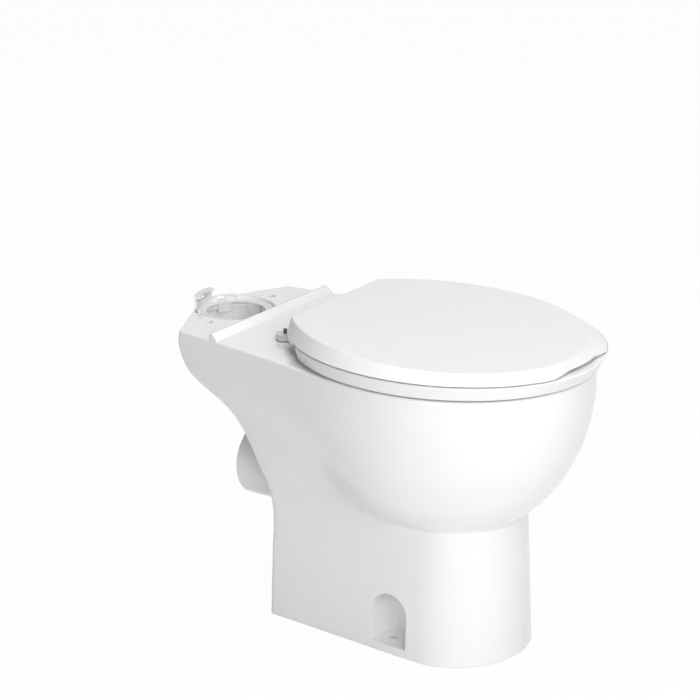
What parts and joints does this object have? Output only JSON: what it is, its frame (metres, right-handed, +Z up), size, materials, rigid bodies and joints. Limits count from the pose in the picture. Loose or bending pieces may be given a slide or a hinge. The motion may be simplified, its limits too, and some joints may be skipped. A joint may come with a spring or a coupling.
{
  "type": "toilet bowl",
  "caption": "Close-coupled toilet bowl with horizontal rear outlet, hinged seat and lid on quick-release hinges, and a snap-in collar in the flush inlet.",
  "frame": {"origin": "centre of the bounding box, at the floor", "axes": "+X to the right seen from the front, +Y from the front of the seat to the tank shelf, +Z up"},
  "size_m": [0.3638, 0.6, 0.4295],
  "materials": {
    "china": "gloss",
    "seat_plastic": "gloss",
    "rubber_buffer": "matte",
    "hinge_plastic": "satin",
    "pad_rubber": "matte",
    "pin_steel": "satin",
    "button_plastic": "satin",
    "spring_steel": "satin",
    "bush_plastic": "matte",
    "nut_plastic": "matte",
    "collar_plastic": "satin",
    "gasket_rubber": "matte"
  },
  "bodies": {
    "bowl": {"bowl": "china", "hinge_posts": "pin_steel", "post_bushes": "bush_plastic", "post_washers": "bush_plastic", "hinge_mount_left": "hinge_plastic", "hinge_mount_right": "hinge_plastic", "mount_pads": "pad_rubber", "hinge_pin_left": "pin_steel", "hinge_pin_right": "pin_steel", "flush_collar": "collar_plastic", "collar_gasket": "gasket_rubber"},
    "seat": {"seat": "seat_plastic", "seat_buffers": "rubber_buffer"},
    "lid": {"lid": "seat_plastic", "lid_buffers": "rubber_buffer"},
    "button_left": {"release_button_left": "button_plastic", "button_spring_left": "spring_steel"},
    "lock_plate_left": {"lock_plate_left": "pin_steel"},
    "wing_nut_left": {"wing_nut_left": "nut_plastic"},
    "button_right": {"release_button_right": "button_plastic", "button_spring_right": "spring_steel"},
    "lock_plate_right": {"lock_plate_right": "pin_steel"},
    "wing_nut_right": {"wing_nut_right": "nut_plastic"}
  },
  "joints": [
    {"name": "seat_hinge", "type": "hinge", "parent": "bowl", "child": "seat", "pos_m": [0, 0.082, 0.411], "axis": [1, 0, 0], "range_deg": [-100, 0]},
    {"name": "lid_hinge", "type": "hinge", "parent": "seat", "child": "lid", "pos_m": [0, 0.082, 0.411], "axis": [-1, 0, 0], "range_deg": [0, 108]},
    {"name": "button_left_press", "type": "slide", "parent": "bowl", "child": "button_left", "axis": [0, 0, -1], "range_m": [0, 0.0012], "stiffness_N_per_m": 400, "springref_m": -0.001, "deforming": ["button_spring_left"]},
    {"name": "lock_plate_left_slide", "type": "slide", "parent": "bowl", "child": "lock_plate_left", "axis": [0, -1, 0], "range_m": [0, 0.0011]},
    {"name": "wing_nut_left_turn", "type": "hinge", "parent": "bowl", "child": "wing_nut_left", "pos_m": [-0.07, 0.093, 0.36], "axis": [0, 0, 1], "continuous": true},
    {"name": "button_right_press", "type": "slide", "parent": "bowl", "child": "button_right", "axis": [0, 0, -1], "range_m": [0, 0.0012], "stiffness_N_per_m": 400, "springref_m": -0.001, "deforming": ["button_spring_right"]},
    {"name": "lock_plate_right_slide", "type": "slide", "parent": "bowl", "child": "lock_plate_right", "axis": [0, -1, 0], "range_m": [0, 0.0011]},
    {"name": "wing_nut_right_turn", "type": "hinge", "parent": "bowl", "child": "wing_nut_right", "pos_m": [0.07, 0.093, 0.36], "axis": [0, 0, 1], "continuous": true}
  ],
  "couplings": [
    {"joint": "lock_plate_left_slide", "follows": "button_left_press", "ratio": 0.9166},
    {"joint": "lock_plate_right_slide", "follows": "button_right_press", "ratio": 0.9166}
  ]
}
